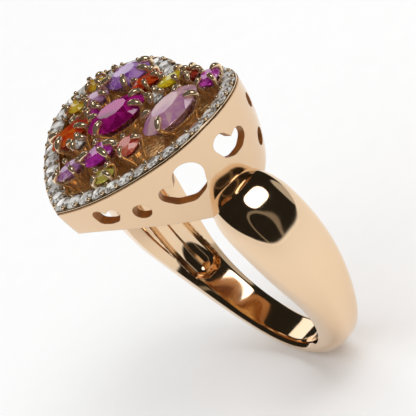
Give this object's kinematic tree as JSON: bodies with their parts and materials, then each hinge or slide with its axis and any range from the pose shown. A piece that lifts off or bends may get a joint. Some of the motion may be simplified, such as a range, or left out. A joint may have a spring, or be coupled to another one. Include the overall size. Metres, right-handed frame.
{
  "type": "cocktail ring",
  "caption": "Rose-gold cocktail ring: a heart-shaped cluster of mixed coloured stones with a diamond halo, a pierced heart gallery and domed shoulders",
  "frame": {"origin": "centre of the finger bore, on the finger axis and midway across the band", "axes": "+Y along the finger axis with the point of the heart towards -Y, +Z from the finger to the head, +X across the head"},
  "size_m": [0.0236, 0.0141, 0.0226],
  "materials": {
    "rose_gold": "polished",
    "diamond": "polished",
    "ruby_stone": "polished",
    "amethyst_stone": "polished",
    "garnet_stone": "polished",
    "kunzite_stone": "polished",
    "rhodolite_stone": "polished",
    "citrine_stone": "polished",
    "almandine_stone": "polished",
    "fire_opal_stone": "polished",
    "morganite_stone": "polished",
    "magenta_stone": "polished",
    "yellow_sapphire": "polished",
    "spinel_stone": "polished",
    "coral_stone": "polished",
    "lilac_stone": "polished",
    "olive_stone": "polished"
  },
  "bodies": {
    "root": {"shank": "rose_gold", "gallery": "rose_gold", "tray": "rose_gold", "halo_rail": "rose_gold", "halo_diamonds": "diamond", "halo_claws": "rose_gold", "setting_ruby": "rose_gold", "gem_ruby": "ruby_stone", "setting_amethyst": "rose_gold", "gem_amethyst": "amethyst_stone", "setting_garnet": "rose_gold", "gem_garnet": "garnet_stone", "setting_kunzite": "rose_gold", "gem_kunzite": "kunzite_stone", "setting_rhodolite": "rose_gold", "gem_rhodolite": "rhodolite_stone", "setting_citrine": "rose_gold", "gem_citrine": "citrine_stone", "setting_almandine": "rose_gold", "gem_almandine": "almandine_stone", "setting_white_top": "rose_gold", "gem_white_top": "diamond", "setting_white_low": "rose_gold", "gem_white_low": "diamond", "setting_fire_opal": "rose_gold", "gem_fire_opal": "fire_opal_stone", "setting_morganite": "rose_gold", "gem_morganite": "morganite_stone", "setting_magenta": "rose_gold", "gem_magenta": "magenta_stone", "setting_yellow_top": "rose_gold", "gem_yellow_top": "yellow_sapphire", "setting_yellow_low": "rose_gold", "gem_yellow_low": "yellow_sapphire", "setting_spinel": "rose_gold", "gem_spinel": "spinel_stone", "setting_coral": "rose_gold", "gem_coral": "coral_stone", "setting_lilac": "rose_gold", "gem_lilac": "lilac_stone", "setting_olive": "rose_gold", "gem_olive": "olive_stone"}
  },
  "joints": []
}
